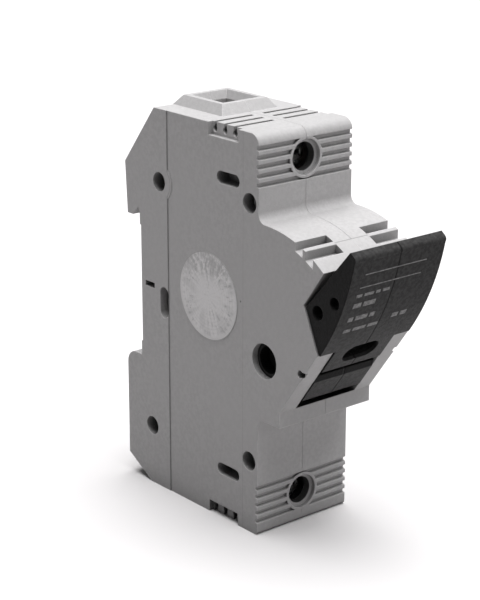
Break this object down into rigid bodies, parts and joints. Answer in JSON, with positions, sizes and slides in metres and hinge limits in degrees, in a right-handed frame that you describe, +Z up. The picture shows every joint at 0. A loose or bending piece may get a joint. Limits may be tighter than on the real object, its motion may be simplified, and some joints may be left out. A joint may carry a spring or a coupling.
{
  "type": "fuse disconnector",
  "caption": "Narrow rail-mounted fuse disconnector: grey moulded housing with a screw terminal at each end and a black hinged carrier that swings a cylindrical fuse-link forward.",
  "frame": {"origin": "middle of the rail seat, on the parting plane and level with the rail's centre line", "axes": "+X across the width to the right, +Y back towards the rail, +Z up"},
  "size_m": [0.0272, 0.0777, 0.0946],
  "materials": {
    "housing_plastic": "satin",
    "carrier_plastic": "matt",
    "label": "satin",
    "clip_plastic": "satin",
    "ceramic": "satin",
    "silvered_cap": "satin",
    "copper": "satin",
    "steel": "brushed"
  },
  "bodies": {
    "housing": {"left_shell": "housing_plastic", "right_shell": "housing_plastic", "shell_rivets": "steel", "round_label": "label", "upper_contact": "copper", "lower_contact": "copper", "upper_jaw_spring": "steel", "lower_jaw_spring": "steel", "rail_clip_spring": "steel"},
    "carrier": {"carrier_left_half": "carrier_plastic", "carrier_right_half": "carrier_plastic", "fuse_body": "ceramic", "fuse_upper_cap": "silvered_cap", "fuse_lower_cap": "silvered_cap", "fuse_grip_spring": "steel"},
    "upper_cage": {"upper_terminal_cage": "steel"},
    "lower_cage": {"lower_terminal_cage": "steel"},
    "upper_screw": {"upper_terminal_screw": "steel"},
    "lower_screw": {"lower_terminal_screw": "steel"},
    "clip": {"rail_clip": "clip_plastic"}
  },
  "joints": [
    {"name": "carrier_hinge", "type": "hinge", "parent": "housing", "child": "carrier", "pos_m": [0, -0.04404, -0.0071], "axis": [1, 0, 0], "range_deg": [0, 65]},
    {"name": "upper_screw_turn", "type": "hinge", "parent": "housing", "child": "upper_screw", "pos_m": [0, -0.03, 0.03605], "axis": [0, 1, 0], "range_deg": [0, 2160]},
    {"name": "upper_cage_slide", "type": "slide", "parent": "housing", "child": "upper_cage", "axis": [0, -1, 0], "range_m": [0, 0.006]},
    {"name": "lower_screw_turn", "type": "hinge", "parent": "housing", "child": "lower_screw", "pos_m": [0, -0.03, -0.0424], "axis": [0, 1, 0], "range_deg": [0, 2160]},
    {"name": "lower_cage_slide", "type": "slide", "parent": "housing", "child": "lower_cage", "axis": [0, -1, 0], "range_m": [0, 0.006]},
    {"name": "rail_clip_slide", "type": "slide", "parent": "housing", "child": "clip", "axis": [0, 0, -1], "range_m": [0, 0.003], "stiffness_N_per_m": 500, "springref_m": -0.002, "deforming": ["rail_clip_spring"]}
  ],
  "couplings": [
    {"joint": "upper_screw_turn", "follows": "upper_cage_slide", "rad_per_m": 6283},
    {"joint": "lower_screw_turn", "follows": "lower_cage_slide", "rad_per_m": 6283}
  ]
}
